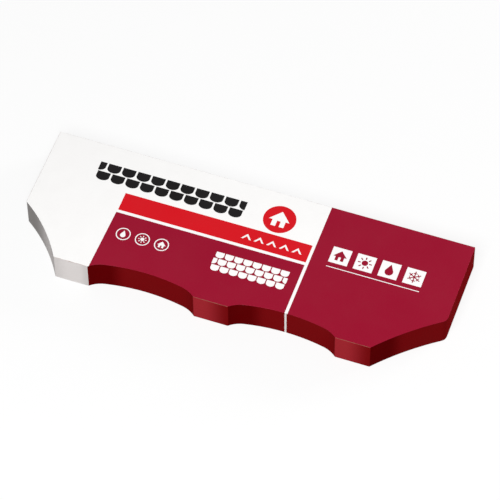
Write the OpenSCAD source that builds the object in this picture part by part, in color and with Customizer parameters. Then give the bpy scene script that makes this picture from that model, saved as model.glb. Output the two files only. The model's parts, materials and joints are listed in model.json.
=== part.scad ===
// Bundle of asphalt roof shingles in a printed film wrapper.
// A stack of like shingles lies flat, all the same way round, tabs to the front (-Y).
// The film follows the shingles' outline on every side and closes over the top and the underside.
// Millimetres, +Z up, origin on the floor under the middle of the bundle.

/* [Shingle] */
// Length of one shingle, along the eaves
shingle_length = 1000; // [800:1:1200]
// Width of one shingle, from the tab ends to the straight head edge
shingle_width = 335; // [260:1:420]
// Thickness of one shingle, its bonded plies together
shingle_thickness = 5.4; // [3:0.1:8]

/* [Tabs] */
// Number of tabs along the shingle
tab_count = 3; // [2:1:4]
// Width of the straight end of a tab
tab_width = 80; // [50:1:120]
// Distance from the left end of the shingle to its first tab
first_tab = 115; // [90:1:130]

/* [Scallops] */
// Depth of the scallop between two tabs
scallop_depth = 26; // [22:1:40]
// Radius of the arc at either end of a scallop
scallop_end_radius = 70; // [45:1:85]
// Angle at which a scallop leaves the end of a tab
scallop_end_angle = 42; // [32:1:48]

/* [Cut ends] */
// How far back from the tab ends each end of the shingle is cut away
end_cut_depth = 124; // [80:1:180]
// How far the edge of the left cut bows into the shingle
left_cut_bow = 9; // [2:0.5:14]
// Radius of the corner between the left cut and the square end
left_corner_radius = 4; // [2:1:30]
// How far the edge of the right cut bows into the shingle
right_cut_bow = 6; // [2:0.5:14]
// Radius of the corner between the right cut and the square end
right_corner_radius = 18; // [2:1:30]

/* [Bundle] */
// Number of shingles in the bundle
shingle_count = 14; // [8:1:20]

/* [Film] */
// Thickness of the wrapping film
film_thickness = 0.2; // [0.15:0.05:0.6]
// Gap between the film and the edges of the shingles
film_clearance = 0.3; // [0.2:0.05:1]

/* [Hidden] */
$fn = 96;
shingle_colour = "#55423c";
film_colour = "#981a30";

// The tabs repeat across butted shingles, so their pitch is an equal share of the length.
tab_pitch = shingle_length / tab_count;
scallop_half = (tab_pitch - tab_width) / 2;
last_tab_end = first_tab + (tab_count - 1) * tab_pitch + tab_width;
stack_height = shingle_count * shingle_thickness;
// How far a cutter reaches past the edges that it cuts through
overrun = 20;
// Blended curves cross by this much, so that one runs into the next with no sliver between them
blend_overlap = 0.005;

// A scallop is a three-centred arch: a flat crown between two tighter end arcs, all tangent.
scallop_end_centre = [scallop_half - scallop_end_radius * sin(scallop_end_angle),
    -scallop_end_radius * cos(scallop_end_angle)];
scallop_rise = scallop_depth - scallop_end_centre.y;
scallop_crown_radius = (pow(scallop_end_centre.x, 2) + pow(scallop_rise, 2) - pow(scallop_end_radius, 2))
    / (2 * (scallop_rise - scallop_end_radius));

function two_digits(i) = str(i < 10 ? "0" : "", i);
function shingle_name(i) = str("shingle_", two_digits(i));

// Scallop between two tabs, centred on x = 0 with the tab ends on y = 0, narrowed by grow all round.
module scallop(grow) {
    crown_centre = [0, scallop_depth - scallop_crown_radius - blend_overlap];
    past_end = scallop_end_centre + (scallop_end_centre - crown_centre) / 2;
    intersection() {
        translate(crown_centre) circle(r = scallop_crown_radius - grow, $fn = 360);
        polygon([crown_centre, past_end, [-past_end.x, past_end.y]]);
    }
    for (side = [-1, 1])
        translate([side * scallop_end_centre.x, scallop_end_centre.y]) circle(r = scallop_end_radius - grow);
}

// Cut that takes away the corner between the square end at x = 0 and the tab that starts at x = reach.
// Its edge bows into the shingle, and a fillet of corner_radius blends it into the square end.
module end_cut(reach, bow, corner_radius, grow) {
    chord = [reach, -end_cut_depth];
    half = norm(chord) / 2;
    bow_radius = (half * half + bow * bow) / (2 * bow);
    outward = [-end_cut_depth, -reach] / norm(chord);
    bow_centre = [reach, end_cut_depth] / 2 + outward * (bow_radius - bow);
    corner_x = corner_radius - blend_overlap;
    centre_distance = bow_radius + corner_x;
    corner_y = bow_centre.y + sqrt(pow(centre_distance, 2) - pow(corner_x - bow_centre.x, 2));
    corner_centre = [corner_x, corner_y];
    inside_bow = corner_centre + (bow_centre - corner_centre) * (2 * corner_radius / centre_distance);
    translate(bow_centre) circle(r = bow_radius - grow, $fn = 360);
    difference() {
        polygon([corner_centre, inside_bow, [-overrun, inside_bow.y], [-overrun, corner_y]]);
        translate(corner_centre) circle(r = corner_radius + grow);
    }
}

// Outline of a shingle, grown outwards by grow.
module shingle_outline(grow = 0) {
    difference() {
        translate([-grow, -grow]) square([shingle_length + 2 * grow, shingle_width + 2 * grow]);
        for (i = [1 : tab_count - 1])
            translate([first_tab + tab_width + (i - 1) * tab_pitch + scallop_half, 0]) scallop(grow);
        end_cut(first_tab, left_cut_bow, left_corner_radius, grow);
        translate([shingle_length, 0]) mirror([1, 0])
            end_cut(shingle_length - last_tab_end, right_cut_bow, right_corner_radius, grow);
    }
}

// Prism on the shingles' outline, from one height to another, centred over the origin.
module outline_prism(bottom, height, grow = 0) {
    translate([-shingle_length / 2, -shingle_width / 2, bottom])
        linear_extrude(height) shingle_outline(grow);
}

// One shingle of the stack, counted from the bottom.
module shingle(i) {
    color(shingle_colour)
        outline_prism(film_thickness + (i - 1) * shingle_thickness, shingle_thickness);
}

// Closed skin of film around the stack.
module film_wrapper() {
    color(film_colour) difference() {
        outline_prism(0, stack_height + 2 * film_thickness, film_clearance + film_thickness);
        outline_prism(film_thickness, stack_height, film_clearance);
    }
}

for (i = [1 : shingle_count]) shingle(i);
film_wrapper();
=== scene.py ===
# %% [markdown]
# A bundle of asphalt shingles in printed film
#
# This lesson dresses a finished CAD model in Blender. The model is a flat stack of tabbed roof shingles
# inside a closed wrapper of plastic film. The shingles keep their CAD shape and get a granule finish.
# The film gets a mesh of its own, with soft rims and the relief of the sheets under it, and then its print.

import json
import math

import bpy
from mathutils import Euler, Matrix, Vector, noise

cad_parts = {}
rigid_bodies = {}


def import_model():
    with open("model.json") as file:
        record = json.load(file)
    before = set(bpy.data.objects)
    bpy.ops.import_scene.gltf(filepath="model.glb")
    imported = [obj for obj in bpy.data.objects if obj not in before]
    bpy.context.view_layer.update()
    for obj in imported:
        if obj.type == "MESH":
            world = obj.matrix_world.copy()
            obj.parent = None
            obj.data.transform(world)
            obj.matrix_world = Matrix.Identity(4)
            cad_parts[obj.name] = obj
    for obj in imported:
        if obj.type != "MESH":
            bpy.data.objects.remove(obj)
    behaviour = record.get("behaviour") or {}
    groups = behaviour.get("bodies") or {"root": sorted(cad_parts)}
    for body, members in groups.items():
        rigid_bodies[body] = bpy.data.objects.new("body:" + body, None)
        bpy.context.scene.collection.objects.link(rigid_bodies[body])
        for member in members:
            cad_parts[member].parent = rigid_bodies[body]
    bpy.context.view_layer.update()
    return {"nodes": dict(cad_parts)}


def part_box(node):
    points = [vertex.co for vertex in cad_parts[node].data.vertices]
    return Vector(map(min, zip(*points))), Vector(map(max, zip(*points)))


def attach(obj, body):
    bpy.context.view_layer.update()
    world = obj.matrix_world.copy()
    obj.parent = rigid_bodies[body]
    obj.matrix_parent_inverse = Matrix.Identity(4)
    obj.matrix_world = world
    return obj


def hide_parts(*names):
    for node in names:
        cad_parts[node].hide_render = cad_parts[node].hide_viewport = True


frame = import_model()
film_low, film_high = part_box("film_wrapper")
shingle_names = sorted(name for name in frame["nodes"] if name.startswith("shingle"))
shingle_low, shingle_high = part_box(shingle_names[0])
shingle_length, shingle_width, shingle_thickness = shingle_high - shingle_low
film_thickness = shingle_low.z - film_low.z
print("bundle of", len(shingle_names), "shingles,", [round(side, 4) for side in film_high - film_low], "m")

# %% [markdown]
# Camera
#
# A product picture is taken from far away with a long lens, so that parallel edges stay nearly parallel.
# The camera could be placed by eye, but its place was worked out from the bundle's own corners in the
# photograph. It stands to the right of the tabs and looks down on the printed face.

# %% Place the camera
CAMERA_TARGET = Vector((0.0155, 0.0201, 0.038))
CAMERA_DISTANCE = 7.26
CAMERA_AZIMUTH = math.radians(19.96)
CAMERA_ELEVATION = math.radians(54.37)
CAMERA_ROLL = math.radians(-0.63)
CAMERA_LENS = 231.2

bpy.ops.object.select_all(action="DESELECT")
bpy.ops.object.camera_add()
camera = bpy.context.object
aim = Euler((math.pi / 2 - CAMERA_ELEVATION, 0, CAMERA_AZIMUTH)).to_matrix()
camera.location = CAMERA_TARGET + aim @ Vector((0, 0, CAMERA_DISTANCE))
camera.rotation_euler = (aim @ Matrix.Rotation(CAMERA_ROLL, 3, "Z")).to_euler()
camera.data.lens = CAMERA_LENS
bpy.context.scene.camera = camera
print("camera at", [round(v, 3) for v in camera.location])

# %% [markdown]
# Node helpers
#
# Every finish here is a small graph of nodes. Each node could be added and wired in several lines of its own,
# but the graph would drown in them. So one helper adds a node with its settings and links, two do
# arithmetic, and one makes a soft step from 0 to 1.

# %% Helpers for nodes and numbers


def add_node(tree, kind, inputs=None, **settings):
    """Adds a node. inputs maps a socket's name or number to a value, or to an output socket to link."""
    node = tree.nodes.new(kind)
    for name, value in settings.items():
        setattr(node, name, value)
    for socket, value in (inputs or {}).items():
        if isinstance(value, bpy.types.NodeSocket):
            tree.links.new(value, node.inputs[socket])
        else:
            node.inputs[socket].default_value = value
    return node


def arithmetic(tree, operation, first, second=0.0, third=0.0, clamp=False):
    """One Math node. Each operand is a number or an output socket."""
    operands = {0: first, 1: second, 2: third}
    return add_node(tree, "ShaderNodeMath", operands, operation=operation, use_clamp=clamp).outputs[0]


def multiply(tree, first, *others):
    """All the values multiplied: for masks, the part that they have in common."""
    result = first
    for other in others:
        result = arithmetic(tree, "MULTIPLY", result, other)
    return result


def ramp(tree, value, start, stop):
    """0 up to start, 1 from stop on, and a smooth rise between."""
    node = add_node(tree, "ShaderNodeMapRange", {"Value": value, "From Min": start, "From Max": stop},
                    interpolation_type="SMOOTHSTEP")
    return node.outputs[0]


print("helpers for numbers ready")

# %% [markdown]
# Colours need helpers too. A colour could be written in the linear values that sockets take, but it is easier
# to choose as a screen shows it, so one helper converts it. One lays a colour over another where a mask says
# so, as a printer lays ink on film: a mask is 1 where there is ink and 0 where there is none. The last one
# starts a material.

# %% Helpers for colours and materials
MIX_FACTOR = 0
MIX_BELOW = 6
MIX_ABOVE = 7
MIX_RESULT = 2


def linear_colour(red, green, blue):
    """A colour as a screen shows it, from 0 to 255, in the linear values that sockets take."""
    def linear(value):
        value = value / 255
        return value / 12.92 if value <= 0.04045 else ((value + 0.055) / 1.055) ** 2.4
    return (linear(red), linear(green), linear(blue), 1.0)


def lay_over(tree, below, above, mask):
    """The colour above where mask is 1, and the colour below where it is 0."""
    layers = {MIX_FACTOR: mask, MIX_BELOW: below, MIX_ABOVE: above}
    return add_node(tree, "ShaderNodeMix", layers, data_type="RGBA").outputs[MIX_RESULT]


def new_material(name):
    """A material with a Principled shader. Returns the material, its tree and the shader."""
    material = bpy.data.materials.new(name)
    material.use_nodes = True
    return material, material.node_tree, material.node_tree.nodes["Principled BSDF"]


print("helpers for colours ready")

# %% [markdown]
# Stage
#
# The bundle lies on a pale floor in soft studio light. The floor could be lit up to white, but that would
# flood the bundle's sides with light from below. So rays from the camera see a nearly white floor that still
# takes the shadow, and light that bounces finds a duller one.

# %% Floor
FLOOR_SIZE = 40
FLOOR_SEEN = (0.95, 0.95, 0.95, 1)
FLOOR_BOUNCE = (0.25, 0.25, 0.25, 1)
FLOOR_GLOW = 0.82
WHITE_LIGHT = (1, 1, 1, 1)


def seen_directly(tree):
    """1 for a ray that shows the surface in the picture, and 0 for one that only carries light."""
    path = add_node(tree, "ShaderNodeLightPath")
    seen = arithmetic(tree, "ADD", path.outputs["Is Camera Ray"], path.outputs["Is Glossy Ray"], clamp=True)
    return arithmetic(tree, "ADD", seen, path.outputs["Is Transmission Ray"], clamp=True)


bpy.ops.mesh.primitive_plane_add(size=FLOOR_SIZE)
floor = bpy.context.object
floor.name = "floor"
floor_material = bpy.data.materials.new("studio_floor")
floor_material.use_nodes = True
tree = floor_material.node_tree
tree.nodes.clear()
seen = seen_directly(tree)
surface = add_node(tree, "ShaderNodeBsdfDiffuse", {"Color": lay_over(tree, FLOOR_BOUNCE, FLOOR_SEEN, seen)})
glow = add_node(tree, "ShaderNodeEmission", {"Color": WHITE_LIGHT, "Strength": 1.0})
share = multiply(tree, seen, FLOOR_GLOW)
both = add_node(tree, "ShaderNodeMixShader", {0: share, 1: surface.outputs[0], 2: glow.outputs[0]})
add_node(tree, "ShaderNodeOutputMaterial", {"Surface": both.outputs[0]})
floor.data.materials.append(floor_material)
print("floor of", FLOOR_SIZE, "m")

# %% [markdown]
# The backdrop is a plain white world. It could shine with all its strength, but then it would fill every
# shadow. So it is white where it is seen, also in a reflection, and otherwise gives only a weak fill. The
# Standard view shows colours about as they are written.

# %% Backdrop
BACKDROP_LIGHT = 0.20

world = bpy.data.worlds.new("studio")
bpy.context.scene.world = world
world.use_nodes = True
tree = world.node_tree
tree.nodes.clear()
strength = arithmetic(tree, "MAXIMUM", seen_directly(tree), BACKDROP_LIGHT)
backdrop = add_node(tree, "ShaderNodeBackground", {"Color": WHITE_LIGHT, "Strength": strength})
add_node(tree, "ShaderNodeOutputWorld", {"Surface": backdrop.outputs[0]})
bpy.context.scene.view_settings.view_transform = "Standard"
print("backdrop lights with", BACKDROP_LIGHT)

# %% [markdown]
# Two large soft boxes light the bundle. One lamp from above would leave all sides alike, but on the object
# the tab ends are paler than the hollows. So the stronger box stands in front of the tabs, and a second one
# behind the right end keeps the back and that end from going dark.

# %% Lamps


def add_lamp(name, place, size, power):
    """A square soft box at place, turned to the middle of the bundle."""
    bpy.ops.object.light_add(type="AREA", location=place)
    lamp = bpy.context.object
    lamp.name = name
    lamp.data.size = size
    lamp.data.energy = power
    lamp.rotation_euler = Vector(place).to_track_quat("Z", "Y").to_euler()


add_lamp("front_box", place=(0.40, -3.36, 4.33), size=2.4, power=269)
add_lamp("side_box", place=(3.43, 3.43, 1.33), size=1.8, power=145)

# %% [markdown]
# The film's skin
#
# On the real bundle the film is drawn tight around the stack: it takes the shingles' outline, turns over the
# rims in a small radius, and shows the edge of every sheet as a faint ridge. Its mesh is shaped in edit mode,
# where an operator acts on all that is selected. By hand one would click on points and edges. A script picks
# them by their place, and these helpers see to that.

# %% Helpers for selecting


def only(obj):
    """Leaves obj alone selected and active, in object mode."""
    if bpy.context.object and bpy.context.object.mode != "OBJECT":
        bpy.ops.object.mode_set(mode="OBJECT")
    bpy.ops.object.select_all(action="DESELECT")
    obj.select_set(True)
    bpy.context.view_layer.objects.active = obj


def edit(obj, kind="VERT"):
    """Opens obj in edit mode with nothing selected."""
    only(obj)
    bpy.ops.object.mode_set(mode="EDIT")
    bpy.ops.mesh.select_mode(type=kind)
    bpy.ops.mesh.select_all(action="DESELECT")


def select_vertices(obj, test):
    """Opens obj in edit mode with those vertices selected whose place passes test."""
    edit(obj)
    bpy.ops.object.mode_set(mode="OBJECT")
    for vertex in obj.data.vertices:
        vertex.select = test(vertex.co)
    bpy.ops.object.mode_set(mode="EDIT")


print("helpers for selecting ready")

# %% [markdown]
# The outline could be drawn again from arcs, but the CAD film already has it exactly. So the lesson copies
# that node's mesh and merges its loose triangles. What is then linked to the underside is the outer skin. The
# inner one goes, and so do the edges between triangles that lie flat.

# %% Copy the CAD film and keep its outer skin
MERGE_DISTANCE = 1e-6
FLAT_ANGLE = math.radians(0.5)

film = bpy.data.objects.new("film", frame["nodes"]["film_wrapper"].data.copy())
bpy.context.scene.collection.objects.link(film)
film.data.materials.clear()
edit(film)
bpy.ops.mesh.select_all(action="SELECT")
bpy.ops.mesh.remove_doubles(threshold=MERGE_DISTANCE)
under_face = film_low.z + film_thickness / 2
select_vertices(film, lambda place: place.z < under_face)
bpy.ops.mesh.select_linked()
bpy.ops.mesh.select_all(action="INVERT")
bpy.ops.mesh.delete(type="VERT")
bpy.ops.mesh.select_all(action="SELECT")
bpy.ops.mesh.dissolve_limited(angle_limit=FLAT_ANGLE)
bpy.ops.object.mode_set(mode="OBJECT")
print("outer skin:", len(film.data.polygons), "faces")

# %% [markdown]
# Film can't turn a knife edge. It bends over the rims and round the corners of the tabs in a radius of just
# under a millimetre. Every edge could be bevelled, but that would also catch the small steps of the bowed
# cuts. So only the sharp edges are picked.

# %% Round the rims and the corners
SHARP_ANGLE = math.radians(20)
RIM_RADIUS = 0.0008
RIM_STEPS = 3

edit(film, "EDGE")
bpy.ops.mesh.edges_select_sharp(sharpness=SHARP_ANGLE)
bpy.ops.mesh.bevel(offset=RIM_RADIUS, offset_type="OFFSET", segments=RIM_STEPS, profile=0.5, affect="EDGES")
bpy.ops.object.mode_set(mode="OBJECT")
print("soft rims:", len(film.data.polygons), "faces")

# %% [markdown]
# The relief needs points to move. Subdividing would spread them evenly, but the ridges need them at the
# sheets. So Bisect slices the skin with planes, as a bread knife would: upright slices about a centimetre
# apart for the slack of the film, and level slices at each joint between two shingles and at two heights
# within each shingle. The seal on the back needs one more at its top, and two close together at its free
# edge.

# %% Slice the skin for its relief
SLICE_PITCH = 0.0125
SLICES_PER_SHINGLE = 3
SEAL_BOTTOM = 0.030
SEAL_TOP = 0.050
SEAL_STEP = 0.0003


def slices(low, high, pitch):
    """Even places between low and high, about a pitch apart, without the ends."""
    count = round((high - low) / pitch)
    return [low + (high - low) * i / count for i in range(1, count)]


def slice_film(direction, places):
    """Cuts the open film mesh with a plane across direction at each of the places."""
    for place in places:
        bpy.ops.mesh.select_all(action="SELECT")
        bpy.ops.mesh.bisect(plane_co=Vector(direction) * place, plane_no=direction)


stack_low = film_low.z + film_thickness
stack_high = film_high.z - film_thickness
levels = slices(stack_low, stack_high, shingle_thickness / SLICES_PER_SHINGLE)
edit(film)
slice_film((0, 0, 1), levels + [SEAL_BOTTOM - SEAL_STEP, SEAL_BOTTOM, SEAL_TOP])
slice_film((1, 0, 0), slices(film_low.x, film_high.x, SLICE_PITCH))
slice_film((0, 1, 0), slices(film_low.y, film_high.y, SLICE_PITCH))
bpy.ops.object.mode_set(mode="OBJECT")
print("sliced skin:", len(film.data.polygons), "faces")

# %% [markdown]
# On the sides the film dips a little at each joint and lies a little further in where a shingle was stacked
# a hair short. On top it lies on the last shingle and lifts slightly where air is caught. On the back the two
# ends of the film overlap in a welded seal, whose free edge is a small step. All this could be sculpted, but
# three short functions give it the same way each time. No dip is deeper than the gap between film and
# shingles, so nothing cuts into the stack.

# %% Heights of the relief
JOINT_DIP = 0.00017
STACK_UNEVEN = 0.00012
UNEVEN_LENGTH = 0.09
LAYER_JUMP = 7.3
AIR_LIFT = 0.00045
AIR_LENGTH = 0.13
AIR_MARGIN = 0.03
AIR_LAYER = 3.1
AIR_FROM = 0.35


def smooth_noise(x, y, z):
    """Even noise between 0 and 1."""
    return 0.5 + 0.5 * noise.noise(Vector((x, y, z)))


def side_dip(place):
    """How far the film on a side lies inside the CAD film at this place."""
    level = (place.z - stack_low) / shingle_thickness
    layer = math.floor(level)
    joint = (1 - math.sin(math.pi * (level - layer))) ** 2
    uneven = smooth_noise(place.x / UNEVEN_LENGTH, place.y / UNEVEN_LENGTH, layer * LAYER_JUMP)
    return JOINT_DIP * joint + STACK_UNEVEN * uneven


def seal_lift(place):
    """How far the overlapping film of the seal stands off the back."""
    if not SEAL_BOTTOM - SEAL_STEP / 2 < place.z < SEAL_TOP:
        return 0.0
    return SEAL_STEP * (SEAL_TOP - place.z) / (SEAL_TOP - SEAL_BOTTOM)


def air_lift(place):
    """How far caught air lifts the film off the top shingle."""
    edge = min(film_high.x - abs(place.x), film_high.y - abs(place.y), AIR_MARGIN) / AIR_MARGIN
    pocket = smooth_noise(place.x / AIR_LENGTH, place.y / AIR_LENGTH, AIR_LAYER)
    return AIR_LIFT * edge * max(0.0, pocket - AIR_FROM)


print("a joint between two sheets dips by", JOINT_DIP, "m")

# %% [markdown]
# The functions now move the points. A Displace modifier could do that from a texture, but no one texture
# knows the sides from the top. Here each point goes along its own normal, and the normal also tells where the
# point lies. The normals change as points move, so they are noted first.

# %% Give the film its relief
SIDE_STEEPNESS = 0.3
FACING_BACK = 0.9
FACING_UP = 0.99

normals = [vertex.normal.copy() for vertex in film.data.vertices]
for vertex, normal in zip(film.data.vertices, normals):
    place = vertex.co
    if abs(normal.z) < SIDE_STEEPNESS:
        lift = seal_lift(place) if normal.y > FACING_BACK else 0.0
        vertex.co = place + normal * (lift - side_dip(place))
    elif normal.z > FACING_UP:
        vertex.co.z += air_lift(place)
print("relief on", len(film.data.vertices), "points")

# %% [markdown]
# Film is a sheet with two faces. An inner skin could be modelled too, but a Solidify modifier makes it from
# the outer one, at an even thickness. Smooth shading then hides the slices, and Weighted Normal keeps the
# broad faces flat beside the narrow rims.

# %% Thicken and smooth the film
SMOOTH_ANGLE = math.radians(40)

only(film)
bpy.ops.object.modifier_add(type="SOLIDIFY")
film.modifiers[-1].thickness = film_thickness
film.modifiers[-1].offset = -1
bpy.ops.object.modifier_apply(modifier=film.modifiers[-1].name)
bpy.ops.object.shade_smooth_by_angle(angle=SMOOTH_ANGLE)
bpy.ops.object.modifier_add(type="WEIGHTED_NORMAL")
film.modifiers[-1].keep_sharp = True
bpy.ops.object.modifier_apply(modifier=film.modifiers[-1].name)
print("film:", len(film.data.vertices), "points,", len(film.data.polygons), "faces")

# %% [markdown]
# Ink shapes
#
# The print could be an image, but here it is drawn by the material itself, so it stays sharp at any size.
# Four node groups hold simple shapes. The square, the disc and the triangle reach from -1 to 1, and a
# course of shingle tabs has one tab to each unit of x. A Mapping node could put each shape in its place,
# but it keeps three numbers where two will do, and Cycles has room for only 255 at a time. So a group
# measures the shape's own x and y along two axes, with a dot product for each.

# %% Node groups for the ink shapes
TAB_HALF_WIDTH = 0.44
TAB_ROUND_PART = 0.45


def own_coordinate(group, entry, axis):
    """A shape's own x or y: how far the place lies along that axis, counted from the shape's middle."""
    reach = add_node(group, "ShaderNodeVectorMath", {0: entry["Place"], 1: entry[axis + " Axis"]},
                     operation="DOT_PRODUCT")
    return arithmetic(group, "SUBTRACT", reach.outputs["Value"], entry[axis + " Middle"])


def mask_group(name, draw):
    """A group that turns a place into a mask, as draw works it out from the shape's own x and y."""
    group = bpy.data.node_groups.new(name, "ShaderNodeTree")
    for socket in ("Place", "X Axis", "Y Axis"):
        group.interface.new_socket(socket, in_out="INPUT", socket_type="NodeSocketVector")
    for socket in ("X Middle", "Y Middle"):
        group.interface.new_socket(socket, in_out="INPUT", socket_type="NodeSocketFloat")
    group.interface.new_socket("Mask", in_out="OUTPUT", socket_type="NodeSocketFloat")
    entry = add_node(group, "NodeGroupInput").outputs
    mask = draw(group, own_coordinate(group, entry, "X"), own_coordinate(group, entry, "Y"))
    add_node(group, "NodeGroupOutput", {"Mask": mask})
    return group


def draw_square(tree, x, y):
    """Ink where neither x nor y is further than 1 from 0."""
    reach = arithmetic(tree, "MAXIMUM", arithmetic(tree, "ABSOLUTE", x), arithmetic(tree, "ABSOLUTE", y))
    return arithmetic(tree, "LESS_THAN", reach, 1.0)


def draw_disc(tree, x, y):
    """Ink within a radius of 1."""
    reach = arithmetic(tree, "MULTIPLY_ADD", x, x, multiply(tree, y, y))
    return arithmetic(tree, "LESS_THAN", reach, 1.0)


def draw_triangle(tree, x, y):
    """Ink under two slopes that meet at the top, and above the base."""
    slope = arithmetic(tree, "MULTIPLY_ADD", arithmetic(tree, "ABSOLUTE", x), 2.0, y)
    under = arithmetic(tree, "LESS_THAN", slope, 1.0)
    return multiply(tree, under, arithmetic(tree, "GREATER_THAN", y, -1.0))


def draw_tabs(tree, x, y):
    """A course of shingle tabs with round ends: one tab to each unit of x, from 0 up to 1 in y."""
    across = arithmetic(tree, "SUBTRACT", arithmetic(tree, "FRACT", x), 0.5)
    across = arithmetic(tree, "DIVIDE", across, TAB_HALF_WIDTH)
    below = arithmetic(tree, "MAXIMUM", arithmetic(tree, "SUBTRACT", TAB_ROUND_PART, y), 0.0)
    below = arithmetic(tree, "DIVIDE", below, TAB_ROUND_PART)
    reach = arithmetic(tree, "MULTIPLY_ADD", across, across, multiply(tree, below, below))
    inside = arithmetic(tree, "LESS_THAN", reach, 1.0)
    return multiply(tree, inside, arithmetic(tree, "LESS_THAN", y, 1.0))


SQUARE = mask_group("ink square", draw_square)
DISC = mask_group("ink disc", draw_disc)
TRIANGLE = mask_group("ink triangle", draw_triangle)
TABS = mask_group("ink shingle tabs", draw_tabs)
print("ink shapes:", [group.name for group in bpy.data.node_groups])

# %% [markdown]
# A picture could have a formula of its own, but it is easier to put it together as paper cut-outs would be:
# masks are joined, or one is cut out of another. A block of ink is given by its left, right, front and back
# side. A part of a pictogram is given by its place and its half sizes, as shares of the pictogram's own half
# size, so that a pictogram can be drawn at any size.

# %% Place, join and cut the shapes


def drawn(tree, place, group, location, size, turn=0.0):
    """The mask of a group, moved to location, stretched to size and turned by degrees."""
    angle = math.radians(turn)
    x_axis = Vector((math.cos(angle), math.sin(angle), 0.0)) / size[0]
    y_axis = Vector((-math.sin(angle), math.cos(angle), 0.0)) / size[1]
    middle = Vector((*location, 0.0))
    inputs = {"Place": place, "X Axis": x_axis, "Y Axis": y_axis,
              "X Middle": x_axis.dot(middle), "Y Middle": y_axis.dot(middle)}
    return add_node(tree, "ShaderNodeGroup", inputs, node_tree=group).outputs["Mask"]


def block(tree, place, left, right, front, back):
    """A plain rectangle of ink between its four sides."""
    middle = ((left + right) / 2, (front + back) / 2)
    return drawn(tree, place, SQUARE, middle, ((right - left) / 2, (back - front) / 2))


def part(tree, place, group, middle, half, share, turn=0.0):
    """A part of a pictogram: share holds its place, x and y, and its half sizes, x and y."""
    x, y, half_x, half_y = (half * value for value in share)
    return drawn(tree, place, group, (middle[0] + x, middle[1] + y), (half_x, half_y), turn)


def join(tree, *masks):
    """Ink where any of the masks has ink."""
    result = masks[0]
    for mask in masks[1:]:
        result = arithmetic(tree, "MAXIMUM", result, mask)
    return result


def cut(tree, mask, hole):
    """The mask without the ink that hole covers."""
    return arithmetic(tree, "GREATER_THAN", mask, hole)


print("shapes can be placed, joined and cut")

# %% [markdown]
# Roofing film shows what a roof stands up to: sun, rain and snow. These small pictures could be outlines
# drawn point by point, but a house, a sun, a drop and a snowflake are easily put together from the shapes.

# %% Pictograms of a house and the weather
HOUSE_ROOF = (0.0, 0.38, 0.98, 0.52)
HOUSE_WALLS = (0.0, -0.42, 0.62, 0.40)
HOUSE_DOOR = (0.0, -0.52, 0.17, 0.32)
SUN_RAY = (0.0, 0.0, 1.0, 0.09)
SUN_GAP = (0.0, 0.0, 0.62, 0.62)
SUN_CORE = (0.0, 0.0, 0.45, 0.45)
DROP_BULB = (0.0, -0.30, 0.60, 0.60)
DROP_TIP = (0.0, 0.489, 0.532, 0.511)
SNOW_ARM = (0.0, 0.0, 0.98, 0.08)
SNOW_BARB_HALF = (0.07, 0.28)
SNOW_BARB_OUT = 0.62


def house(tree, place, middle, half):
    """A roof on walls, with the door left out."""
    roof = part(tree, place, TRIANGLE, middle, half, HOUSE_ROOF)
    walls = part(tree, place, SQUARE, middle, half, HOUSE_WALLS)
    return cut(tree, join(tree, roof, walls), part(tree, place, SQUARE, middle, half, HOUSE_DOOR))


def sun(tree, place, middle, half):
    """Rays with a gap in their middle, and a disc in the gap."""
    rays = [part(tree, place, SQUARE, middle, half, SUN_RAY, turn) for turn in range(0, 180, 45)]
    rays = cut(tree, join(tree, *rays), part(tree, place, DISC, middle, half, SUN_GAP))
    return join(tree, rays, part(tree, place, DISC, middle, half, SUN_CORE))


def drop(tree, place, middle, half):
    """A round bulb with a pointed tip on it."""
    bulb = part(tree, place, DISC, middle, half, DROP_BULB)
    return join(tree, bulb, part(tree, place, TRIANGLE, middle, half, DROP_TIP))


def snowflake(tree, place, middle, half):
    """Three bars across the middle, with a barb across each of their six ends."""
    arms = [part(tree, place, SQUARE, middle, half, SNOW_ARM, turn) for turn in range(30, 180, 60)]
    for turn in range(30, 360, 60):
        out = Vector((math.cos(math.radians(turn)), math.sin(math.radians(turn)))) * SNOW_BARB_OUT
        arms.append(part(tree, place, SQUARE, middle, half, (*out, *SNOW_BARB_HALF), turn))
    return join(tree, *arms)


print("pictograms ready")

# %% [markdown]
# A pictogram stands in a frame, and shingles lie in courses. Each could be drawn one by one, but frames and
# courses take up what repeats: a tile, a ring, a chevron, and rows of tabs that are shifted by half a tab.

# %% Frames and courses
FULL_SIZE = (0.0, 0.0, 1.0, 1.0)
TILE_FILL = 0.74
RING_INSIDE = (0.0, 0.0, 0.86, 0.86)
RING_FILL = 0.60
CHEVRON_ROOF = (0.0, 0.0, 1.0, 0.62)
CHEVRON_NOTCH = (0.0, -0.52, 1.0, 0.62)
COURSE_GAP = 0.002


def tile(tree, place, middle, half, pictogram):
    """A square tile with a pictogram left out of it."""
    whole = part(tree, place, SQUARE, middle, half, FULL_SIZE)
    return cut(tree, whole, pictogram(tree, place, middle, TILE_FILL * half))


def ring(tree, place, middle, half, pictogram):
    """A pictogram in a thin ring."""
    outside = part(tree, place, DISC, middle, half, FULL_SIZE)
    inside = part(tree, place, DISC, middle, half, RING_INSIDE)
    return join(tree, cut(tree, outside, inside), pictogram(tree, place, middle, RING_FILL * half))


def chevron(tree, place, middle, half):
    """The two slopes of a small roof."""
    roof = part(tree, place, TRIANGLE, middle, half, CHEVRON_ROOF)
    return cut(tree, roof, part(tree, place, TRIANGLE, middle, half, CHEVRON_NOTCH))


def courses(tree, place, left, right, front, pitch, tabs, rows):
    """Rows of shingle tabs between left and right, a pitch apart, every other row shifted by half a tab."""
    tab = (right - left) / tabs
    height = pitch - COURSE_GAP
    masks = []
    for row in range(rows):
        row_front = front + pitch * row
        row_left = left + tab / 2 * (row % 2)
        tab_row = drawn(tree, place, TABS, (row_left, row_front), (tab, height))
        masks.append(multiply(tree, tab_row, block(tree, place, left, right, row_front, row_front + height)))
    return join(tree, *masks)


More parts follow.
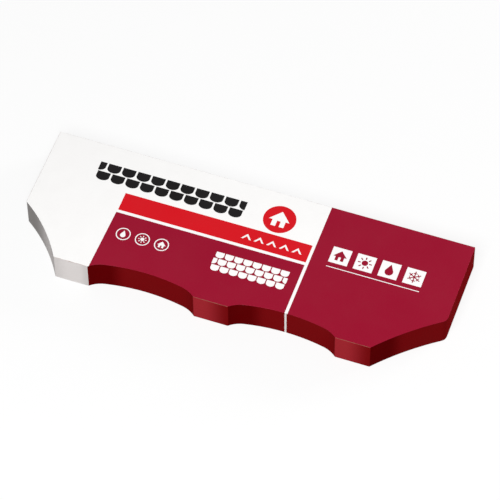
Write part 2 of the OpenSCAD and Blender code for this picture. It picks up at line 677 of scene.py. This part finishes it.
print("frames and courses ready")

# %% [markdown]
# Uneven tone
#
# No film or sheet is quite even: its gloss and its colour wander a little. Each finish could have noise of
# its own, but that wandering serves both, so it is built once, as a node group with a lowest and a highest
# value, and placed where it is needed.

# %% Node group for uneven tone
NOISE_DETAIL = 3.0
NOISE_LOW = 0.3
NOISE_HIGH = 0.7


def mottle_group():
    """Noise with finer noise on it, as a value from Low to High."""
    group = bpy.data.node_groups.new("mottle", "ShaderNodeTree")
    group.interface.new_socket("Place", in_out="INPUT", socket_type="NodeSocketVector")
    for name in ("Scale", "Low", "High"):
        group.interface.new_socket(name, in_out="INPUT", socket_type="NodeSocketFloat")
    group.interface.new_socket("Value", in_out="OUTPUT", socket_type="NodeSocketFloat")
    entry = add_node(group, "NodeGroupInput")
    grain = add_node(group, "ShaderNodeTexNoise", {"Vector": entry.outputs["Place"], "Detail": NOISE_DETAIL,
                                                   "Scale": entry.outputs["Scale"]})
    span = add_node(group, "ShaderNodeMapRange", {"Value": grain.outputs[0], "From Min": NOISE_LOW,
                                                  "From Max": NOISE_HIGH, "To Min": entry.outputs["Low"],
                                                  "To Max": entry.outputs["High"]})
    add_node(group, "NodeGroupOutput", {"Value": span.outputs[0]})
    return group


MOTTLE = mottle_group()


def mottle(tree, place, scale, low, high):
    """The mottle group in a material, with its own values."""
    inputs = {"Place": place, "Scale": scale, "Low": low, "High": high}
    return add_node(tree, "ShaderNodeGroup", inputs, node_tree=MOTTLE).outputs["Value"]


print("group ready:", MOTTLE.name)

# %% [markdown]
# Printed film
#
# The wrapper is white polyethylene film printed in crimson, red and black. The print could lie on a UV map,
# but the film is flat on top, so plain coordinates serve as well. All places are in metres, from the
# shingles' left end and from their tab ends. Two masks tell the top face, the sides and the rest apart. The
# ink of the top and of the underside reaches most of the way round the rims.

# %% Find the print's places on the film
RIM_INK = 0.85 * RIM_RADIUS

film_material, tree, shader = new_material("printed_film")
coordinates = add_node(tree, "ShaderNodeTexCoord")
to_print = add_node(tree, "ShaderNodeMapping", {"Vector": coordinates.outputs["Object"],
                                                "Location": (-shingle_low.x, -shingle_low.y, 0.0)})
place = to_print.outputs[0]
axes = add_node(tree, "ShaderNodeSeparateXYZ", {0: place})
along, across, height = (axes.outputs[name] for name in "XYZ")
on_top = arithmetic(tree, "GREATER_THAN", height, film_high.z - RIM_INK)
below_rim = arithmetic(tree, "LESS_THAN", height, film_high.z - RIM_INK)
beside = multiply(tree, below_rim, arithmetic(tree, "GREATER_THAN", height, film_low.z + RIM_INK))
print("print laid out from", [round(v, 4) for v in shingle_low])

# %% [markdown]
# Film looks different on the sides, and here that is painted light and shade. In the hollows, in the cuts
# and on the right end the colour is painted darker, as painted shade. Across the flat tab ends, the left end
# and the back it gets a paler side tone: painted light on the crimson, a faint painted shade on the white.
# The lamps alone could shade the sides, but not in such clear steps. So each of the two grounds, white film
# and crimson ink, has three tones: top, pale side tone and painted shade. A block that runs over the film's
# edge ends a centimetre past it.

# %% Masks for the sides' painted light and shade
PAST_FILM = 0.010
PAST_LENGTH = shingle_length + PAST_FILM
PAST_WIDTH = shingle_width + PAST_FILM
OUTER_FACE_DEPTH = 0.0008
BACK_FACE_FROM = shingle_width - OUTER_FACE_DEPTH
HOLLOWS = (-PAST_FILM, PAST_LENGTH, OUTER_FACE_DEPTH, BACK_FACE_FROM)

# The sides in the hollows get painted shade; the outermost faces keep the pale painted side tone.
painted_shade_sides = multiply(tree, beside, block(tree, place, *HOLLOWS))
on_tab_ends = multiply(tree, beside, arithmetic(tree, "LESS_THAN", across, OUTER_FACE_DEPTH))
print("film stands off the outermost", OUTER_FACE_DEPTH, "m")

# %% [markdown]
# The white ground comes first. Its sides get a faint painted shade. In the left cut the painted shade is
# deepest at the back and less towards the first tab, and on the white end of that tab painted shade darkens
# it a little towards both corners. More lamps could shade it so, but they would change the other sides too.
# Soft ramps act here alone.

# %% Ground of white film
WHITE_FILM = linear_colour(253, 252, 251)
WHITE_SIDE_PAINTED_SHADE = linear_colour(246, 240, 238)
WHITE_PAINTED_SHADE = linear_colour(166, 162, 160)
LEFT_CUT = (-PAST_FILM, 0.150, OUTER_FACE_DEPTH, 0.124)
CUT_FADE = (0.035, 0.110)
WHITE_TAB_LEFT = (0.100, 0.150)
WHITE_TAB_RIGHT = (0.172, 0.198)
WHITE_TAB_FADE = 0.29

# Painted shade masks: the left cut, deepest at the back, and both corners of the white tab end.
in_left_cut = multiply(tree, beside, block(tree, place, *LEFT_CUT), ramp(tree, across, *CUT_FADE))
from_left = arithmetic(tree, "SUBTRACT", 1.0, ramp(tree, along, *WHITE_TAB_LEFT))
to_corners = arithmetic(tree, "ADD", from_left, ramp(tree, along, *WHITE_TAB_RIGHT))
# The white sides are painted a little darker than the top, and darker still where the masks say.
white_ground = lay_over(tree, WHITE_FILM, WHITE_SIDE_PAINTED_SHADE, beside)
for mask in (in_left_cut, multiply(tree, to_corners, on_tab_ends, WHITE_TAB_FADE)):
    white_ground = lay_over(tree, white_ground, WHITE_PAINTED_SHADE, mask)
print("white ground done,", len(tree.nodes), "nodes")

# %% [markdown]
# Two crimson panels lie on the white and run down over the rims and the sides: one on the front, up to a
# slightly leaning left edge, and one on the whole right third. The white line between them is wider on top
# than on the sides. Each face could have panels of its own, but one pair serves them all: it leaves the
# narrow line free, and what else stays unprinted on top is cut out of it.

# %% Crimson panels
CRIMSON_INK = linear_colour(151, 20, 47)
CRIMSON_PAINTED_LIGHT = linear_colour(174, 44, 53)
CRIMSON_PAINTED_SHADE = linear_colour(129, 14, 18)
LINE_LEFT = 0.654
TOP_LINE_RIGHT = 0.661
SIDE_LINE_RIGHT = 0.6588
PANEL_LEFT = 0.1955
PANEL_BACK = 0.163
FRONT_PANEL = (PANEL_LEFT, LINE_LEFT, -PAST_FILM, PANEL_BACK)
END_PANEL = (SIDE_LINE_RIGHT, PAST_LENGTH, -PAST_FILM, PAST_WIDTH)
TOP_LINE = (LINE_LEFT, TOP_LINE_RIGHT, -PAST_FILM, PAST_WIDTH)
LEANING_EDGE_MIDDLE = (0.1707, 0.0844)
LEANING_EDGE_HALF = (0.030, 0.120)
LEAN = -1.76

leaning_edge = drawn(tree, place, SQUARE, LEANING_EDGE_MIDDLE, LEANING_EDGE_HALF, LEAN)
unprinted = join(tree, leaning_edge, block(tree, place, *TOP_LINE))
panels = join(tree, block(tree, place, *FRONT_PANEL), block(tree, place, *END_PANEL))
panels = cut(tree, panels, multiply(tree, unprinted, on_top))
# The crimson's sides: painted light on the outer faces, painted shade in the hollows and on the right end.
crimson_ground = lay_over(tree, CRIMSON_INK, CRIMSON_PAINTED_LIGHT, beside)
crimson_ground = lay_over(tree, crimson_ground, CRIMSON_PAINTED_SHADE, painted_shade_sides)
colour = lay_over(tree, white_ground, crimson_ground, panels)
print("panels done,", len(tree.nodes), "nodes")

# %% [markdown]
# Past the right corner of each tab the crimson gets a deep painted shade, which lightens over the next few
# centimetres. Towards that corner, and round it, the painted light of the tab's end gives way to painted
# shade as well. Each tab could have masks of its own, but the tabs repeat at an even pitch. So the remainder
# of a division by that pitch gives the distance past the last corner, and one mask serves them all.

# %% Painted shade beside the tabs
CRIMSON_PAINTED_DEEP_SHADE = linear_colour(101, 2, 5)
TAB_COUNT = 3
TAB_PITCH = shingle_length / TAB_COUNT
FIRST_TAB_END = 0.195
DEEP_SHADE_REACH = (0.047, 0.089)
TAB_FADE = (0.274, 0.335)
TAB_CORNER = 0.003

pitches = arithmetic(tree, "DIVIDE", arithmetic(tree, "SUBTRACT", along, FIRST_TAB_END), TAB_PITCH)
past_tab = multiply(tree, arithmetic(tree, "FRACT", pitches), TAB_PITCH)
squares = arithmetic(tree, "MULTIPLY_ADD", past_tab, past_tab, multiply(tree, across, across))
from_corner = arithmetic(tree, "SQRT", squares)
# Deep painted shade just past each tab's right corner, fading over a few centimetres.
painted_deep_shade = arithmetic(tree, "SUBTRACT", 1.0, ramp(tree, from_corner, *DEEP_SHADE_REACH))
in_front = multiply(tree, panels, arithmetic(tree, "LESS_THAN", across, PANEL_BACK))
colour = lay_over(tree, colour, CRIMSON_PAINTED_DEEP_SHADE, multiply(tree, painted_deep_shade, painted_shade_sides, in_front))
at_corner = arithmetic(tree, "LESS_THAN", past_tab, TAB_CORNER)
fade = join(tree, ramp(tree, past_tab, *TAB_FADE), at_corner)
# Painted shade replaces the painted light towards the tab end's right corner and round it.
colour = lay_over(tree, colour, CRIMSON_PAINTED_SHADE, multiply(tree, fade, on_tab_ends, panels))
print("gathered film done,", len(tree.nodes), "nodes")

# %% [markdown]
# On the top face the panels carry a red band and small pictograms of roofs and weather. They are the kind of
# picture that any roofing bundle may have. Each shape could be laid on by itself, but all the shapes in one
# ink are joined to one mask first, as a printer makes one plate for each ink.

# %% Red and black plates
RED_BAND = (0.2045, LINE_LEFT, 0.1705, 0.2195)
EMBLEM = (0.560, 0.264)
EMBLEM_HALF = 0.038
EMBLEM_HOUSE = 0.025
BLACK_COURSES = {"left": 0.120, "right": 0.476, "front": 0.236, "pitch": 0.026, "tabs": 10, "rows": 2}

disc = part(tree, place, DISC, EMBLEM, EMBLEM_HALF, FULL_SIZE)
emblem = cut(tree, disc, house(tree, place, EMBLEM, EMBLEM_HOUSE))
red_plate = join(tree, block(tree, place, *RED_BAND), emblem)
black_plate = courses(tree, place, **BLACK_COURSES)
print("red and black done,", len(tree.nodes), "nodes")

# %% [markdown]
# White stands on the red and the crimson: chevrons on the band, pictograms in rings and tiles, a rule and
# more courses. Each place could be written down, but a row needs only its first place and its pitch.

# %% White plate
WHITE_COURSES = {"left": 0.455, "right": 0.631, "front": 0.082, "pitch": 0.018, "tabs": 8, "rows": 3}
CHEVRON_COUNT = 5
FIRST_CHEVRON = (0.506, 0.195)
CHEVRON_PITCH = 0.030
CHEVRON_HALF = 0.012
RING_PICTOGRAMS = (drop, sun, house)
FIRST_RING = (0.240, 0.110)
RING_PITCH = 0.046
RING_HALF = 0.017
TILE_PICTOGRAMS = (house, sun, drop, snowflake)
FIRST_TILE = (0.722, 0.212)
TILE_PITCH = 0.058
TILE_HALF = 0.022
RULE = (0.700, 0.918, 0.1765, 0.1785)


def row_place(first, pitch, i):
    """The i-th place in a row along the film."""
    return (first[0] + pitch * i, first[1])


white_shapes = [block(tree, place, *RULE), courses(tree, place, **WHITE_COURSES)]
for i in range(CHEVRON_COUNT):
    middle = row_place(FIRST_CHEVRON, CHEVRON_PITCH, i)
    white_shapes.append(chevron(tree, place, middle, CHEVRON_HALF))
for i, pictogram in enumerate(RING_PICTOGRAMS):
    middle = row_place(FIRST_RING, RING_PITCH, i)
    white_shapes.append(ring(tree, place, middle, RING_HALF, pictogram))
for i, pictogram in enumerate(TILE_PICTOGRAMS):
    middle = row_place(FIRST_TILE, TILE_PITCH, i)
    white_shapes.append(tile(tree, place, middle, TILE_HALF, pictogram))
white_plate = join(tree, *white_shapes)
print("white done,", len(tree.nodes), "nodes")

# %% [markdown]
# A press lays its inks one after the other. The plates could be mixed in one step, but then each would need
# the others cut out of it. So they are printed in turn, white last, and on the top face only.

# %% Print the three plates
RED_INK = linear_colour(214, 26, 36)
BLACK_INK = linear_colour(28, 27, 28)

for ink, plate in ((RED_INK, red_plate), (BLACK_INK, black_plate), (WHITE_FILM, white_plate)):
    colour = lay_over(tree, colour, ink, multiply(tree, plate, on_top))
print("inks done,", len(tree.nodes), "nodes")

# %% [markdown]
# Bundles rub against their neighbours on the pallet. Along the outermost rims the ink is scuffed, and the
# brown of the sheets shows through in a thin broken line. Edge wear is often found from the mesh's own
# bends, but that would wear every rim alike. So the outline's straight sides say where the line runs, and
# the hollows and the right end keep their ink. Noise breaks the line.

# %% Scuffed rims
SCUFFED_FILM = linear_colour(150, 112, 92)
SCUFF_REACH = 0.0002
SCUFF_DEPTH = 0.0008

inside = block(tree, place, SCUFF_REACH, PAST_LENGTH, SCUFF_REACH, shingle_width)
outermost = arithmetic(tree, "SUBTRACT", 1.0, inside)
near_top = arithmetic(tree, "GREATER_THAN", height, film_high.z - SCUFF_DEPTH)
near_floor = arithmetic(tree, "LESS_THAN", height, film_low.z + SCUFF_DEPTH)
broken = mottle(tree, place, scale=55.0, low=0.25, high=0.95)
scuffs = multiply(tree, outermost, join(tree, near_top, near_floor), broken)
colour = lay_over(tree, colour, SCUFFED_FILM, scuffs)
print("scuffs done,", len(tree.nodes), "nodes")

# %% [markdown]
# Two marks are left. On the back, the overlap of the film is a little darker, and darkest along the narrow
# weld that closes it. And no ink is laid on quite evenly. Both could be colours of their own, but what shows
# through is always the sheets' brown, so all of it adds up to one tint of that brown over everything.

# %% Seal and uneven ink
SHEET_BROWN = linear_colour(96, 70, 62)
WELD_WIDTH = 0.003
WELD_BOTTOM = SEAL_TOP - WELD_WIDTH
OVERLAP_TINT = 0.05
WELD_TINT = 0.16
MOTTLE_TINT = 0.02

at_back = arithmetic(tree, "GREATER_THAN", across, BACK_FACE_FROM)
tint = mottle(tree, place, scale=26.0, low=0.0, high=MOTTLE_TINT)
for bottom, strength in ((SEAL_BOTTOM, OVERLAP_TINT), (WELD_BOTTOM, WELD_TINT)):
    within = arithmetic(tree, "COMPARE", height, (bottom + SEAL_TOP) / 2, (SEAL_TOP - bottom) / 2)
    tint = arithmetic(tree, "MULTIPLY_ADD", multiply(tree, within, at_back), strength, tint)
tree.links.new(lay_over(tree, colour, SHEET_BROWN, tint), shader.inputs["Base Color"])
print("film colours:", len(tree.nodes), "nodes")

# %% [markdown]
# The face of the film is satin. The shader's own specular could give that sheen, but it is set to nothing
# here. A thin clear coat gives it instead: there is more of it on the taut top than on the sides, and it
# wanders a little.

# %% Sheen of the film
COAT_ROUGHNESS = 0.3
COAT_IOR = 1.5
SIDE_SHEEN = 0.03

shader.inputs["Specular IOR Level"].default_value = 0.0
shader.inputs["Coat IOR"].default_value = COAT_IOR
shader.inputs["Coat Roughness"].default_value = COAT_ROUGHNESS
sheen = mottle(tree, place, scale=9.0, low=0.06, high=0.18)
share = arithmetic(tree, "MULTIPLY_ADD", on_top, 1.0 - SIDE_SHEEN, SIDE_SHEEN)
tree.links.new(multiply(tree, sheen, share), shader.inputs["Coat Weight"])
tree.links.new(mottle(tree, place, scale=14.0, low=0.42, high=0.56), shader.inputs["Roughness"])
print("sheen done,", len(tree.nodes), "nodes")

# %% [markdown]
# Film has a fine ripple, and long draw lines along the way it was made. They could be in the mesh, but it
# would need millions of points. So they are bump: one mottle is stretched along the film for the draw lines,
# and a finer one is the ripple.

# %% Ripple and draw lines of the film
DRAW_STRETCH = (0.04, 1.0, 1.0)
RIPPLE_HEIGHT = 0.00012
RIPPLE_STRENGTH = 0.7

stretched = add_node(tree, "ShaderNodeMapping", {"Vector": place, "Scale": DRAW_STRETCH}).outputs[0]
draw_lines = mottle(tree, stretched, scale=160.0, low=0.0, high=0.6)
fine_ripple = mottle(tree, place, scale=420.0, low=0.0, high=0.4)
fine_relief = arithmetic(tree, "ADD", draw_lines, fine_ripple)
bump = add_node(tree, "ShaderNodeBump", {"Height": fine_relief, "Distance": RIPPLE_HEIGHT,
                                         "Strength": RIPPLE_STRENGTH})
tree.links.new(bump.outputs[0], shader.inputs["Normal"])
film.data.materials.append(film_material)
print("film surface done,", len(tree.nodes), "nodes")

# %% [markdown]
# Shingles
#
# Inside the film lie the shingles: bitumen on a glass mat, strewn with crushed stone. Their CAD solids have
# the right shape, so only their finish is made here. The granules could be scattered as small meshes, but
# nobody sees them singly. So Voronoi cells stand for them, each in its own shade, and the bitumen shows dark
# between them.

# %% Granule finish of the shingles
BITUMEN = linear_colour(38, 35, 34)
LIGHT_GRANULE = linear_colour(132, 96, 82)
DARK_GRANULE = linear_colour(70, 52, 48)
GRANULES_PER_METRE = 700.0
GRANULE_REACH = 0.62
GRANULE_HEIGHT = 0.0006
GRANULE_STRENGTH = 0.8

shingle_material, tree, shader = new_material("granule_shingle")
place = add_node(tree, "ShaderNodeTexCoord").outputs["Object"]
cells = add_node(tree, "ShaderNodeTexVoronoi", {"Vector": place, "Scale": GRANULES_PER_METRE})
tone = add_node(tree, "ShaderNodeSeparateColor", {"Color": cells.outputs["Color"]}).outputs["Red"]
stone = lay_over(tree, DARK_GRANULE, LIGHT_GRANULE, tone)
between = arithmetic(tree, "GREATER_THAN", cells.outputs["Distance"], GRANULE_REACH)
tree.links.new(lay_over(tree, stone, BITUMEN, between), shader.inputs["Base Color"])
tree.links.new(mottle(tree, place, scale=30.0, low=0.82, high=0.97), shader.inputs["Roughness"])
grains = add_node(tree, "ShaderNodeBump", {"Height": cells.outputs["Distance"], "Distance": GRANULE_HEIGHT,
                                           "Strength": GRANULE_STRENGTH}, invert=True)
tree.links.new(grains.outputs[0], shader.inputs["Normal"])
for name in shingle_names:
    slots = frame["nodes"][name].data.materials
    slots.clear()
    slots.append(shingle_material)
print("granules on", len(shingle_names), "shingles")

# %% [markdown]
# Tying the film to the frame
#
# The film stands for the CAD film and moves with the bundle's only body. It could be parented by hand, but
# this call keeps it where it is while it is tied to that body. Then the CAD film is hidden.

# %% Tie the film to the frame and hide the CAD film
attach(film, "root")
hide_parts("film_wrapper")
